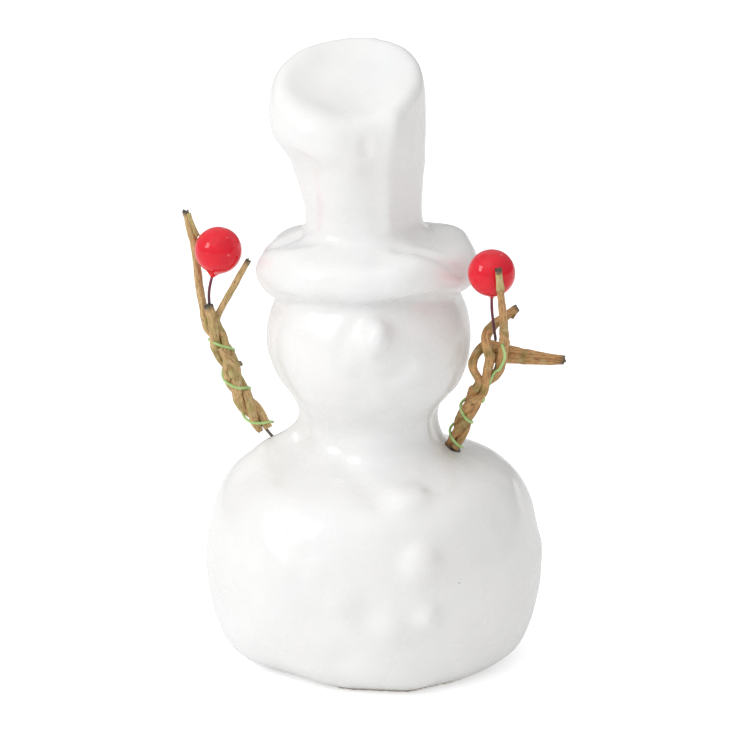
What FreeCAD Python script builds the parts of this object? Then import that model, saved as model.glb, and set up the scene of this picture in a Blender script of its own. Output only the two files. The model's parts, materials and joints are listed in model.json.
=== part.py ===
import FreeCAD, Part
import Sketcher
import math
import os

# A glazed ceramic snowman in a tall dented hat, with two removable twig arms.
# Millimetres. Origin: centre of the foot, on the surface it stands on. +Z is up,
# the face looks along -Y, and "left" is the side of a person looking at the face (-X).

Vector = FreeCAD.Vector
DOC = FreeCAD.newDocument("ceramic_snowman")
SHEET = DOC.addObject("Spreadsheet::Sheet", "sizes")
VALUES = {}

DRIVING_SIZES = [
    # The clay
    ("clay_wall", 6.0),
    ("floor_thickness", 6.0),
    ("vent_radius", 7.0),
    ("foot_radius", 31.5),
    ("foot_edge_round", 9.0),
    ("ankle_radius", 38.5),
    ("ankle_height", 6.0),
    ("belly_bulge", 46.7),
    ("shoulder_radius", 38.6),
    ("shoulder_height", 46.0),
    ("shoulder_round", 10.0),
    ("collar_radius", 32.0),
    ("collar_drop", 4.4),
    ("neck_radius", 18.2),
    ("neck_foot_height", 55.7),
    ("neck_height", 58.0),
    ("head_radius", 26.2),
    ("head_rise", 26.0),
    ("head_shift", 1.6),
    ("head_top_radius", 16.0),
    ("hat_seat_rise", 12.5),
    ("head_top_rise", 20.0),
    ("hat_vent_radius", 5.0),
    # The hat
    ("brim_roll_radius", 7.1),
    ("brim_lean", 0.1746),
    ("brim_edge_thickness", 13.2),
    ("brim_thickness", 8.5),
    ("crown_foot_radius", 15.7),
    ("crown_waist_radius", 16.1),
    ("crown_waist_rise", 14.0),
    ("crown_chest_radius", 19.6),
    ("crown_chest_rise", 27.0),
    ("crown_top_radius", 19.6),
    ("crown_top_rise", 37.6),
    ("crown_foot_shift", 3.0),
    ("crown_waist_shift", 3.8),
    ("crown_chest_shift", 6.4),
    ("crown_top_shift", 6.8),
    ("crown_top_tilt", 21.0),
    ("crown_lip_radius", 16.6),
    ("crown_lip_rise", 2.8),
    ("dish_radius", 34.0),
    ("dish_depth", 3.0),
    # The face and the buttons
    ("nose_width", 3.3),
    ("nose_length", 4.4),
    ("nose_reach", 6.0),
    ("nose_turn", 7.5),
    ("nose_pitch", 15.0),
    ("top_button_radius", 5.0),
    ("middle_button_radius", 4.9),
    ("bottom_button_radius", 3.2),
    ("button_dome", 2.6),
    ("top_button_height", 51.0),
    ("middle_button_height", 36.0),
    ("bottom_button_height", 22.0),
    ("top_button_turn", 3.3),
    ("middle_button_turn", 4.0),
    ("bottom_button_turn", 6.0),
    # The arm sockets
    ("left_socket_reach", 25.3),
    ("left_socket_turn", 166.0),
    ("left_socket_lift", 3.4),
    ("left_socket_aim", 189.0),
    ("left_socket_pitch", 51.5),
    ("left_socket_radius", 1.3),
    ("right_socket_reach", 19.8),
    ("right_socket_turn", -16.0),
    ("right_socket_lift", 0.3),
    ("right_socket_aim", -57.0),
    ("right_socket_pitch", 64.7),
    ("right_socket_radius", 2.3),
    ("socket_boss_depth", 7.0),
    ("socket_boss_flare", 3.0),
    ("socket_depth", 16.0),
    ("peg_depth", 10.0),
    ("peg_fit", 0.06),
    # The twigs, wires and berries
    ("spike_radius", 0.4),
    ("spike_length", 8.0),
    ("twig_radius", 0.85),
    ("twig_gap", 0.15),
    ("splint_radius", 0.75),
    ("curl_radius", 0.7),
    ("green_wire_radius", 0.4),
    ("stem_radius", 0.35),
    ("berry_radius", 6.0),
    ("berry_neck_radius", 0.9),
    ("berry_neck_length", 1.2),
    ("stem_grip", 3.0),
    ("stem_glue_gap", 0.02),
]


class Size:
    """A length that carries its number and the expression that binds it to the sheet."""

    def __init__(self, value, text):
        self.value = float(value)
        self.text = text

    def __add__(self, other):
        other = as_size(other)
        return Size(self.value + other.value, "(%s + %s)" % (self.text, other.text))

    def __sub__(self, other):
        other = as_size(other)
        return Size(self.value - other.value, "(%s - %s)" % (self.text, other.text))

    def __mul__(self, other):
        other = as_size(other)
        return Size(self.value * other.value, "(%s * %s)" % (self.text, other.text))

    def __truediv__(self, other):
        other = as_size(other)
        return Size(self.value / other.value, "(%s / %s)" % (self.text, other.text))


def as_size(number):
    if isinstance(number, Size):
        return number
    return Size(number, repr(float(number)))


def size(name):
    return Size(VALUES[name], "sizes." + name)


def root(square):
    return Size(math.sqrt(square.value), "sqrt(%s)" % square.text)


def cosine(angle):
    return Size(math.cos(math.radians(angle.value)), "cos(%s)" % angle.text)


def sine(angle):
    return Size(math.sin(math.radians(angle.value)), "sin(%s)" % angle.text)


def fill_sheet():
    """One row per driving size: its name, its plain number, and the alias that names the cell."""
    for row, (name, value) in enumerate(DRIVING_SIZES, start=1):
        SHEET.set("A%d" % row, name)
        SHEET.set("B%d" % row, str(value))
        SHEET.setAlias("B%d" % row, name)
        VALUES[name] = value
    DOC.recompute()


# Document helpers


def bind(thing, prop, length):
    thing.setExpression(prop, as_size(length).text)


def bind_place(thing, x, y, z):
    bind(thing, "Placement.Base.x", x)
    bind(thing, "Placement.Base.y", y)
    bind(thing, "Placement.Base.z", z)


def new_body(name):
    body = DOC.addObject("PartDesign::Body", name)
    body.Label = name
    return body


def plane_of(body, role):
    for feature in body.Origin.OriginFeatures:
        if feature.Role == role:
            return feature
    raise ValueError("no origin plane " + role)


def new_sketch(body, name, role):
    sketch = body.newObject("Sketcher::SketchObject", name)
    sketch.AttachmentSupport = [(plane_of(body, role), "")]
    sketch.MapMode = "FlatFace"
    return sketch


def bulge_point(start, end, radius):
    """The middle of the arc from start to end that bulges to the right of the way it runs."""
    chord = end - start
    half = chord.Length / 2
    rise = radius - math.sqrt(radius * radius - half * half)
    sideways = Vector(chord.y, -chord.x, 0).normalize()
    return (start + end) * 0.5 + sideways * rise


def sketch_edge(start, end, radius):
    if radius is None:
        return Part.LineSegment(start, end)
    if radius.value > 0:
        middle = bulge_point(start, end, radius.value)
    else:
        middle = start + end - bulge_point(start, end, -radius.value)
    return Part.Arc(start, middle, end)


def end_index(sketch, edge, point):
    """1 if the sketch edge starts at the point, 2 if it ends there: arcs always run one way."""
    if sketch.getPoint(edge, 1).distanceToPoint(point) < 1e-6:
        return 1
    return 2


def place_corner(sketch, edge, end, kind, distance, axis):
    """Hold one end of an edge at a bound distance from the origin, or on the axis itself."""
    if distance.value == 0:
        sketch.addConstraint(Sketcher.Constraint("PointOnObject", edge, end, axis))
        return
    number = sketch.addConstraint(Sketcher.Constraint(kind, -1, 1, edge, end, distance.value))
    bind(sketch, "Constraints[%d]" % number, distance)


def draw_outline(sketch, corners):
    """A closed outline. Each corner is (x, y, radius of the arc that leaves it, or None)."""
    points = [Vector(x.value, y.value, 0) for x, y, radius in corners]
    count = len(corners)
    for index, (x, y, radius) in enumerate(corners):
        edge = sketch_edge(points[index], points[(index + 1) % count], radius)
        sketch.addGeometry(edge, False)
    for index, (x, y, radius) in enumerate(corners):
        before = (index - 1) % count
        here = end_index(sketch, index, points[index])
        there = end_index(sketch, before, points[index])
        sketch.addConstraint(Sketcher.Constraint("Coincident", before, there, index, here))
        place_corner(sketch, index, here, "DistanceX", x, -2)
        place_corner(sketch, index, here, "DistanceY", y, -1)
        if radius is not None:
            bend = sketch.addConstraint(Sketcher.Constraint("Radius", index, abs(radius.value)))
            bind(sketch, "Constraints[%d]" % bend, radius if radius.value > 0 else radius * -1)


def turned_body(name, corners):
    """A body of revolution about its own Z axis, from an outline drawn in its XZ plane."""
    body = new_body(name)
    sketch = new_sketch(body, name + "_outline", "XZ_Plane")
    draw_outline(sketch, corners)
    turn = body.newObject("PartDesign::Revolution", name + "_turn")
    turn.Profile = sketch
    turn.ReferenceAxis = (sketch, ["V_Axis"])
    turn.Angle = 360
    body.Tip = turn
    DOC.recompute()
    return body


def circle_section(body, name, radius, x, z):
    """A level round section of a loft, at height z, shifted to x."""
    sketch = new_sketch(body, name, "XY_Plane")
    sketch.addGeometry(Part.Circle(Vector(0, 0, 0), Vector(0, 0, 1), radius.value), False)
    sketch.addConstraint(Sketcher.Constraint("Coincident", 0, 3, -1, 1))
    ring = sketch.addConstraint(Sketcher.Constraint("Radius", 0, radius.value))
    bind(sketch, "Constraints[%d]" % ring, radius)
    bind(sketch, "AttachmentOffset.Base.x", x)
    bind(sketch, "AttachmentOffset.Base.z", z)
    return sketch


def tilted_section(body, name, radius, x, z, tilt, lift):
    """A round section tilted to the front, then lifted along its own axis."""
    sketch = circle_section(body, name, radius, x, z + cosine(tilt) * lift)
    sketch.AttachmentOffset = FreeCAD.Placement(Vector(), FreeCAD.Rotation(Vector(1, 0, 0), tilt.value))
    bind(sketch, "AttachmentOffset.Rotation.Angle", tilt)
    bind(sketch, "AttachmentOffset.Base.y", sine(tilt) * lift * -1)
    return sketch


def loft(body, name, kind, sections):
    feature = body.newObject(kind, name)
    feature.Profile = sections[0]
    feature.Sections = sections[1:]
    body.Tip = feature
    DOC.recompute()
    return feature


def cut(name, base, tool):
    result = DOC.addObject("Part::Cut", name)
    result.Base = base
    result.Tool = tool
    result.Label = name
    DOC.recompute()
    return result


def join(name, pieces):
    result = DOC.addObject("Part::MultiFuse", name)
    result.Shapes = pieces
    DOC.recompute()
    return result


def aimed_rotation(direction):
    return FreeCAD.Rotation(Vector(0, 0, 1), direction)


def aimed_cylinder(name, radius, length, start, direction, setback):
    """A cylinder along a direction, starting a setback before the start point."""
    rod = DOC.addObject("Part::Cylinder", name)
    bind(rod, "Radius", radius)
    bind(rod, "Height", length)
    rod.Placement = FreeCAD.Placement(start - direction * setback, aimed_rotation(direction))
    return rod


# Heights and places that several pieces share


def head_centre_height():
    return size("neck_height") + size("head_rise")


def head_top_height():
    return head_centre_height() + size("head_top_rise")


def hat_seat_height():
    return head_centre_height() + size("hat_seat_rise")


def hat_seat_radius():
    """Where the ball of the head meets the seat of the hat."""
    return root(size("head_radius") * size("head_radius") - size("hat_seat_rise") * size("hat_seat_rise"))


def neck_to_head_height(radius_of_neck, radius_of_head):
    """Where a neck of that radius meets a ball of that radius."""
    return head_centre_height() - root(radius_of_head * radius_of_head - radius_of_neck * radius_of_neck)


def crown_foot_height():
    return head_top_height() + size("brim_thickness")


def collar_height():
    return size("neck_foot_height") - size("collar_drop")


def shoulder_top(reach):
    """Height of the sloping shoulder at a distance from the centre line."""
    slope = size("collar_drop") / (size("collar_radius") - size("neck_radius"))
    return size("neck_foot_height") - (reach - size("neck_radius")) * slope


class Socket:
    """One arm socket: the centre of its mouth, and the unit direction that the arm leaves in."""

    def __init__(self, side):
        reach = size(side + "_socket_reach")
        turn = math.radians(VALUES[side + "_socket_turn"])
        aim = math.radians(VALUES[side + "_socket_aim"])
        pitch = math.radians(VALUES[side + "_socket_pitch"])
        height = shoulder_top(reach) + size(side + "_socket_lift")
        self.side = side
        self.radius = size(side + "_socket_radius")
        self.mouth = Vector(reach.value * math.cos(turn), reach.value * math.sin(turn), height.value)
        flat = math.cos(pitch)
        self.axis = Vector(flat * math.cos(aim), flat * math.sin(aim), math.sin(pitch))

    def point(self, along):
        return self.mouth + self.axis * along


# The clay pieces


def body_outline():
    wall = size("clay_wall")
    inner_shoulder = size("shoulder_radius") - wall
    return [
        (size("vent_radius"), as_size(0), None),
        (size("foot_radius"), as_size(0), size("foot_edge_round")),
        (size("ankle_radius"), size("ankle_height"), size("belly_bulge")),
        (size("shoulder_radius"), size("shoulder_height"), size("shoulder_round")),
        (size("collar_radius"), collar_height(), None),
        (size("neck_radius"), size("neck_foot_height"), None),
        (size("neck_radius"), size("neck_height"), None),
        (size("neck_radius") - wall, size("neck_height"), None),
        (size("neck_radius") - wall, size("neck_foot_height") - wall, None),
        (size("collar_radius") - wall, collar_height() - wall, None),
        (inner_shoulder, size("shoulder_height") - wall, (size("belly_bulge") - wall) * -1),
        (size("ankle_radius") - wall, size("floor_thickness"), None),
        (size("vent_radius"), size("floor_thickness"), None),
    ]


def bundle_reach():
    """Radius of the whole twist of twigs about its middle."""
    return twig_ring_radius() + VALUES["twig_radius"]


def socket_boss(socket):
    """The clay pushed up around an arm hole, flat across the hole."""
    depth = size("socket_boss_depth")
    top = as_size(bundle_reach()) + size("twig_gap")
    boss = DOC.addObject("Part::Cone", socket.side + "_socket_boss")
    bind(boss, "Radius1", top + size("socket_boss_flare"))
    bind(boss, "Radius2", top)
    bind(boss, "Height", depth)
    boss.Placement = FreeCAD.Placement(socket.point(-depth.value), aimed_rotation(socket.axis))
    return boss


def socket_tools(socket):
    """The hole itself, and the room above its mouth that the twist of twigs turns in."""
    hole = aimed_cylinder(socket.side + "_socket_hole", socket.radius, size("socket_depth"),
                          socket.mouth, socket.axis, VALUES["socket_depth"] - 1)
    room_radius = as_size(bundle_reach()) + size("green_wire_radius") * 2 + size("twig_gap") * 4
    room = aimed_cylinder(socket.side + "_socket_room", room_radius, size("spike_length"),
                          socket.mouth, socket.axis, 0)
    return [hole, room]


def make_body(sockets):
    shell = turned_body("body_clay", body_outline())
    bosses = [socket_boss(socket) for socket in sockets]
    tools = []
    for socket in sockets:
        tools += socket_tools(socket)
    raised = join("body_with_bosses", [shell] + bosses)
    drilled = cut("body_drilled", raised, join("socket_cuts", tools))
    return cut("snow_body", drilled, inner_room())


def inner_room():
    """The hollow of the body, cut last so that no boss reaches into it."""
    wall = size("clay_wall")
    inner_shoulder = size("shoulder_radius") - wall
    corners = [
        (as_size(0), size("floor_thickness"), None),
        (size("ankle_radius") - wall, size("floor_thickness"), size("belly_bulge") - wall),
        (inner_shoulder, size("shoulder_height") - wall, None),
        (size("collar_radius") - wall, collar_height() - wall, None),
        (size("neck_radius") - wall, size("neck_foot_height") - wall, None),
        (size("neck_radius") - wall, size("neck_height"), None),
        (as_size(0), size("neck_height"), None),
    ]
    return turned_body("body_hollow", corners)


def make_head():
    wall = size("clay_wall")
    ball = size("head_radius")
    neck = size("neck_radius")
    inner_top = root((ball - wall) * (ball - wall) - (size("head_top_rise") - wall) * (size("head_top_rise") - wall))
    head = turned_body("snow_head", [
        (neck - wall, size("neck_height"), None),
        (neck, size("neck_height"), None),
        (neck, neck_to_head_height(neck, ball), ball),
        (hat_seat_radius(), hat_seat_height(), None),
        (size("head_top_radius"), head_top_height(), None),
        (size("hat_vent_radius"), head_top_height(), None),
        (size("hat_vent_radius"), head_top_height() - wall, None),
        (inner_top, head_top_height() - wall, (ball - wall) * -1),
        (neck - wall, neck_to_head_height(neck - wall, ball - wall), None),
    ])
    bind(head, "Placement.Base.x", size("head_shift") * -1)
    return head


def make_brim():
    """A rolled ring of clay that sits on the cut top of the head and droops around it."""
    seat = hat_seat_radius()
    reach = seat + size("brim_lean")
    brim = turned_body("hat_brim", [
        (size("hat_vent_radius"), head_top_height(), None),
        (size("head_top_radius"), head_top_height(), None),
        (seat, hat_seat_height(), size("brim_roll_radius")),
        (reach, hat_seat_height() + size("brim_edge_thickness"), None),
        (size("crown_foot_radius"), crown_foot_height(), None),
        (size("hat_vent_radius"), crown_foot_height(), None),
    ])
    bind(brim, "Placement.Base.x", size("head_shift") * -1)
    return brim


def crown_sections(body, name, inset):
    """Foot, waist and chest of the crown, each drawn in by the inset."""
    sections = []
    rises = {"foot": as_size(0), "waist": size("crown_waist_rise"), "chest": size("crown_chest_rise")}
    for level, rise in rises.items():
        radius = size("crown_%s_radius" % level) - inset
        shift = size("crown_%s_shift" % level) * -1
        height = crown_foot_height() + rise
        sections.append(circle_section(body, name + "_" + level, radius, shift, height))
    return sections


def crown_lip_centre(normal):
    height = crown_foot_height() + size("crown_top_rise")
    return Vector(-VALUES["crown_top_shift"], 0, height.value) + normal * VALUES["crown_lip_rise"]


def make_crown():
    """A leaning, flaring, hollow crown with a tilted top that a thumb has dished."""
    body = new_body("crown_clay")
    shift = size("crown_top_shift") * -1
    top_height = crown_foot_height() + size("crown_top_rise")
    tilt = size("crown_top_tilt")
    outer = crown_sections(body, "crown", as_size(0))
    outer.append(tilted_section(body, "crown_top", size("crown_top_radius"), shift, top_height, tilt, as_size(0)))
    outer.append(tilted_section(body, "crown_lip", size("crown_lip_radius"), shift, top_height, tilt,
                                size("crown_lip_rise")))
    loft(body, "crown_skin", "PartDesign::AdditiveLoft", outer)
    inner = crown_sections(body, "crown_room", size("clay_wall"))
    loft(body, "crown_room", "PartDesign::SubtractiveLoft", inner)
    return cut("hat_crown", body, dish_tool())


def dish_tool():
    """The ball that presses the dish into the crown's tilted top, with its seam turned away from it."""
    tilt = math.radians(VALUES["crown_top_tilt"])
    normal = Vector(0, -math.sin(tilt), math.cos(tilt))
    ball = DOC.addObject("Part::Sphere", "crown_dish")
    bind(ball, "Radius", size("dish_radius"))
    offset = VALUES["dish_radius"] - VALUES["dish_depth"]
    across = Vector(1, 0, 0)
    turned = FreeCAD.Rotation(normal, across.cross(normal), across, "XZY")
    ball.Placement = FreeCAD.Placement(crown_lip_centre(normal) + normal * offset, turned)
    return ball


def front_direction(turn):
    """A level direction, turned from the front (-Y) toward +X by the angle."""
    angle = math.radians(turn)
    return Vector(math.sin(angle), -math.cos(angle), 0)


def dab(name, reach, width, length, centre, outward):
    """A dab of clay: an ellipsoid whose long axis stands upright, before it is seated."""
    blob = DOC.addObject("Part::Ellipsoid", name)
    bind(blob, "Radius1", reach)
    bind(blob, "Radius2", width)
    bind(blob, "Radius3", length)
    upright = Vector(0, 0, 1) - outward * outward.z
    blob.Placement = FreeCAD.Placement(centre, FreeCAD.Rotation(upright.cross(outward), upright, outward, "ZYX"))
    return blob


def make_nose():
    """An oval dab of clay pressed onto the front of the head."""
    pitch = math.radians(VALUES["nose_pitch"])
    level = front_direction(-VALUES["nose_turn"])
    outward = level * math.cos(pitch) + Vector(0, 0, math.sin(pitch))
    centre = Vector(-VALUES["head_shift"], 0, head_centre_height().value) + outward * VALUES["head_radius"]
    blob = dab("nose_dab", size("nose_reach"), size("nose_width"), size("nose_length"), centre, outward)
    ball = DOC.addObject("Part::Sphere", "head_ball")
    bind(ball, "Radius", size("head_radius"))
    bind_place(ball, size("head_shift") * -1, as_size(0), head_centre_height())
    return cut("nose", blob, ball)


def body_surface(height):
    """Distance from the centre line to the outside of the body, and the outward slope there."""
    outside = body_outside().Shape
    ray = Part.makeLine(Vector(0, 0, height), Vector(2 * VALUES["belly_bulge"], 0, height))
    reach = max(point.Point.x for point in ray.common(outside).Vertexes)
    step = 0.05
    ray_above = Part.makeLine(Vector(0, 0, height + step), Vector(2 * VALUES["belly_bulge"], 0, height + step))
    reach_above = max(point.Point.x for point in ray_above.common(outside).Vertexes)
    slope = math.atan2(reach - reach_above, step)
    return reach, slope


def body_outside():
    """The outside form of the body as one filled solid, which the buttons are seated on."""
    existing = DOC.getObject("body_form")
    if existing is not None:
        return existing
    return turned_body("body_form", [
        (as_size(0), as_size(0), None),
        (size("foot_radius"), as_size(0), size("foot_edge_round")),
        (size("ankle_radius"), size("ankle_height"), size("belly_bulge")),
        (size("shoulder_radius"), size("shoulder_height"), size("shoulder_round")),
        (size("collar_radius"), collar_height(), None),
        (size("neck_radius"), size("neck_foot_height"), None),
        (as_size(0), size("neck_foot_height"), None),
    ])


def make_button(name):
    height = VALUES[name + "_height"]
    reach, slope = body_surface(height)
    level = front_direction(VALUES[name + "_turn"])
    outward = level * math.cos(slope) + Vector(0, 0, math.sin(slope))
    centre = level * reach + Vector(0, 0, height)
    radius = size(name + "_radius")
    blob = dab(name + "_dab", size("button_dome"), radius, radius, centre, outward)
    return cut(name, blob, body_outside())


# Routes of the twigs and wires


ROUTE_STEP = math.pi / 4


def twig_ring_radius():
    """How far each twig's middle stands from the middle of the twist, clear of the spike."""
    bare = VALUES["spike_radius"] + VALUES["twig_radius"] + VALUES["twig_gap"]
    return bare / math.cos(ROUTE_STEP / 2)


def wire_ring_radius():
    """The same for the green wire, which is wound around the twist."""
    bare = twig_ring_radius() + VALUES["twig_radius"] + VALUES["green_wire_radius"] + VALUES["twig_gap"]
    return bare / math.cos(ROUTE_STEP / 2)


def along(points, share):
    """The point and direction at a share of a bent line's length."""
    lengths = [(b - a).Length for a, b in zip(points, points[1:])]
    left = share * sum(lengths)
    for start, end, length in zip(points, points[1:], lengths):
        if left <= length + 1e-9:
            return start + (end - start) * (left / length), (end - start).normalize()
        left -= length
    return points[-1], (points[-1] - points[-2]).normalize()


def wound_points(middle_line, ring, last_angle, turns, first_share, last_share):
    """Points wound about a middle line, which end at last_angle (0 is +X, 90 is the back)."""
    count = max(2, round(turns * 2 * math.pi / ROUTE_STEP))
    points = []
    for index in range(count + 1):
        done = index / count
        share = first_share + (last_share - first_share) * done
        centre, direction = along(middle_line, share)
        side = (Vector(1, 0, 0) - direction * direction.x).normalize()
        back = direction.cross(side)
        angle = math.radians(last_angle) - (1 - done) * turns * 2 * math.pi
        points.append(centre + side * (ring * math.cos(angle)) + back * (ring * math.sin(angle)))
    return points


def tangent_arc(before, corner, after):
    """The arc that rounds a corner, as its two ends and its middle."""
    back = before - corner
    ahead = after - corner
    reach = 0.45 * min(back.Length, ahead.Length)
    start = corner + back.normalize() * reach
    end = corner + ahead.normalize() * reach
    half_turn = (math.pi - back.getAngle(ahead)) / 2
    inward = ((start + end) * 0.5 - corner).normalize()
    radius = reach / math.tan(half_turn)
    middle = corner + inward * (radius / math.cos(half_turn) - radius)
    return start, middle, end


def rounded_wire(points):
    """Straight runs joined by tangent arcs."""
    edges = []
    here = points[0]
    for before, corner, after in zip(points, points[1:], points[2:]):
        if (corner - before).getAngle(after - corner) < 0.01:
            continue
        start, middle, end = tangent_arc(before, corner, after)
        edges.append(Part.LineSegment(here, start).toShape())
        edges.append(Part.Arc(start, middle, end).toShape())
        here = end
    edges.append(Part.LineSegment(here, points[-1]).toShape())
    return Part.Wire(edges)


def swept(name, points, radius):
    """A round rod along a route, with its radius bound to the sheet."""
    route = DOC.addObject("Part::Feature", name + "_route")
    route.Shape = rounded_wire(points)
    section = DOC.addObject("Part::Circle", name + "_section")
    bind(section, "Radius", radius)
    section.Placement = FreeCAD.Placement(points[0], aimed_rotation(points[1] - points[0]))
    rod = DOC.addObject("Part::Sweep", name)
    rod.Sections = [section]
    rod.Spine = (route, ["Edge%d" % (index + 1) for index in range(len(route.Shape.Edges))])
    rod.Solid = True
    rod.Frenet = False
    rod.Label = name
    DOC.recompute()
    return rod


def from_mouth(socket, offsets):
    """Hand-chosen points, each given as its offset from the socket's mouth."""
    return [socket.mouth + Vector(*offset) for offset in offsets]


# Offsets from the mouth of the socket, in X, Y, Z

LEFT_TWIST = [(-10.6, -1.9, 15.5), (-12.6, -2.5, 21.5), (-14.8, -2.8, 27.5), (-16.8, -2.4, 32.0)]
LEFT_OUTER_PRONG = [(-18.9, -1.2, 36.4), (-19.6, 0.6, 42.0), (-20.4, 2.9, 52.2), (-22.3, 4.6, 60.6)]
LEFT_SHORT_PRONG = [(-15.2, -2.6, 35.2), (-13.2, -4.2, 40.0), (-11.1, -5.8, 44.8), (-8.9, -7.3, 49.9)]
LEFT_STUB_PRONG = [(-17.6, -4.4, 35.2)]
LEFT_STEM = [(-17.9, -4.2, 37.2), (-17.8, -3.6, 41.8)]
LEFT_BERRY = (-15.8, -3.0, 52.4)
LEFT_CURL = [(-15.9, -6.6, 27.0), (-14.0, -7.2, 24.4), (-12.0, -6.9, 22.8), (-10.2, -6.0, 22.6)]

RIGHT_TWIST = [(4.1, -6.6, 14.8), (5.4, -8.8, 18.0)]
RIGHT_LOOP_PRONG = [(3.4, -10.6, 19.8), (1.6, -11.6, 23.0), (1.3, -11.8, 26.4), (3.4, -10.6, 28.8),
                    (7.2, -8.8, 29.0), (13.2, -8.6, 27.2), (19.9, -9.2, 25.9), (26.9, -9.7, 24.8)]
RIGHT_FRONT_PRONG = [(6.3, -11.6, 22.6), (6.6, -13.3, 27.2), (5.6, -13.3, 32.4), (8.1, -10.8, 34.9),
                     (11.5, -8.5, 36.2), (15.1, -6.2, 37.7)]
RIGHT_UP_PRONG = [(8.9, -10.2, 21.8), (9.8, -13.0, 26.0), (9.8, -15.0, 30.4), (9.0, -18.8, 35.2),
                  (7.8, -22.4, 40.2), (6.4, -26.0, 46.0), (4.8, -29.7, 54.2)]
RIGHT_SPLINT = [(9.4, -8.4, 25.0), (15.3, -9.4, 24.7), (22.5, -10.6, 23.2)]
RIGHT_STEM = [(7.6, -15.4, 32.2), (6.6, -17.0, 37.2), (5.9, -18.2, 41.3)]
RIGHT_BERRY = (5.3, -20.4, 51.0)
RIGHT_WIRE_TOP = [(8.6, -16.0, 23.4), (9.4, -17.2, 27.6), (8.6, -17.4, 31.0)]


def twist_line(socket, offsets):
    """The middle line of a twist: straight along the socket's axis, then through the points."""
    start = socket.point(VALUES["twig_gap"])
    straight = socket.point(VALUES["spike_length"])
    return [start, straight] + from_mouth(socket, offsets)


def make_twig(name, socket, twist, prong, last_angle, turns, first_share):
    wound = wound_points(twist, twig_ring_radius(), last_angle, turns, first_share, 1.0)
    return swept(name, wound + from_mouth(socket, prong), size("twig_radius"))


def make_peg(name, socket):
    """The pin of an arm: a shank that turns in the socket, and a spike inside the twist."""
    shank = socket.radius - size("peg_fit")
    depth = size("peg_depth")
    peg = turned_body(name, [
        (as_size(0), as_size(0), None),
        (shank, as_size(0), None),
        (shank, depth, None),
        (size("spike_radius"), depth, None),
        (size("spike_radius"), depth + size("spike_length"), None),
        (as_size(0), depth + size("spike_length"), None),
    ])
    peg.Placement = FreeCAD.Placement(socket.point(-depth.value), aimed_rotation(socket.axis))
    return peg


def make_berry(side, socket, stem_offsets, berry_offset):
    """A moulded berry with a short neck, and the wire stem that is glued into it."""
    centre = socket.mouth + Vector(*berry_offset)
    stem = from_mouth(socket, stem_offsets)
    upward = (centre - stem[-1]).normalize()
    ball = size("berry_radius")
    neck = size("berry_neck_radius")
    neck_foot = (ball + size("berry_neck_length")) * -1
    bore = size("stem_radius") + size("stem_glue_gap")
    ball_foot = root(ball * ball - neck * neck) * -1
    berry = turned_body(side + "_berry", [
        (bore, neck_foot, None),
        (neck, neck_foot, None),
        (neck, ball_foot, ball),
        (as_size(0), ball, None),
        (as_size(0), neck_foot + size("stem_grip"), None),
        (bore, neck_foot + size("stem_grip"), None),
    ])
    berry.Placement = FreeCAD.Placement(centre, aimed_rotation(upward))
    stem_end = centre + upward * (neck_foot.value + VALUES["stem_grip"])
    wire = swept(side + "_berry_stem", stem + [stem_end], size("stem_radius"))
    return [wire, berry]


def make_left_arm(socket):
    twist = twist_line(socket, LEFT_TWIST)
    wire = wound_points(twist, wire_ring_radius(), 200, 2.5, 0.02, 0.95)
    return [
        make_peg("left_arm_peg", socket),
        make_twig("left_outer_twig", socket, twist, LEFT_OUTER_PRONG, 150, 1.25, 0.08),
        make_twig("left_short_twig", socket, twist, LEFT_SHORT_PRONG, 30, 1.25, 0.05),
        make_twig("left_stub_twig", socket, twist, LEFT_STUB_PRONG, 270, 1.25, 0.11),
        swept("left_bark_curl", from_mouth(socket, LEFT_CURL), size("curl_radius")),
        swept("left_green_wire", wire, size("green_wire_radius")),
    ] + make_berry("left", socket, LEFT_STEM, LEFT_BERRY)


def make_right_arm(socket):
    twist = twist_line(socket, RIGHT_TWIST)
    wire = wound_points(twist, wire_ring_radius(), 300, 1.5, 0.06, 0.9)
    wire += from_mouth(socket, RIGHT_WIRE_TOP)
    return [
        make_peg("right_arm_peg", socket),
        make_twig("right_loop_twig", socket, twist, RIGHT_LOOP_PRONG, 180, 0.75, 0.04),
        make_twig("right_front_twig", socket, twist, RIGHT_FRONT_PRONG, 300, 0.75, 0.04),
        make_twig("right_up_twig", socket, twist, RIGHT_UP_PRONG, 60, 0.75, 0.04),
        swept("right_side_splint", from_mouth(socket, RIGHT_SPLINT), size("splint_radius")),
        swept("right_green_wire", wire, size("green_wire_radius")),
    ] + make_berry("right", socket, RIGHT_STEM, RIGHT_BERRY)


def make_snowman():
    left = Socket("left")
    right = Socket("right")
    clay = [make_body([left, right]), make_head(), make_brim(), make_crown(), make_nose()]
    clay += [make_button(name) for name in ("top_button", "middle_button", "bottom_button")]
    return clay + make_left_arm(left) + make_right_arm(right)


def check(pieces):
    for thing in DOC.Objects:
        if "Invalid" in thing.State or "Error" in thing.State:
            raise ValueError("%s did not build: %s" % (thing.Name, thing.State))
    for piece in pieces:
        if piece.Shape.isNull() or not piece.Shape.isValid() or not piece.Shape.Solids:
            raise ValueError("%s has no sound solid" % piece.Label)


def export(pieces):
    os.makedirs("parts", exist_ok=True)
    for piece in pieces:
        piece.Shape.exportStep(os.path.join("parts", piece.Label + ".step"))


fill_sheet()
PIECES = make_snowman()
DOC.recompute()
check(PIECES)
export(PIECES)
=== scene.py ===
"""Looks of a hand-modelled, white glazed ceramic snowman with twig arms and red berries."""

import json
import math
import random

import bmesh
import bpy
from mathutils import Matrix, Vector, noise
from mathutils.bvhtree import BVHTree


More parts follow.
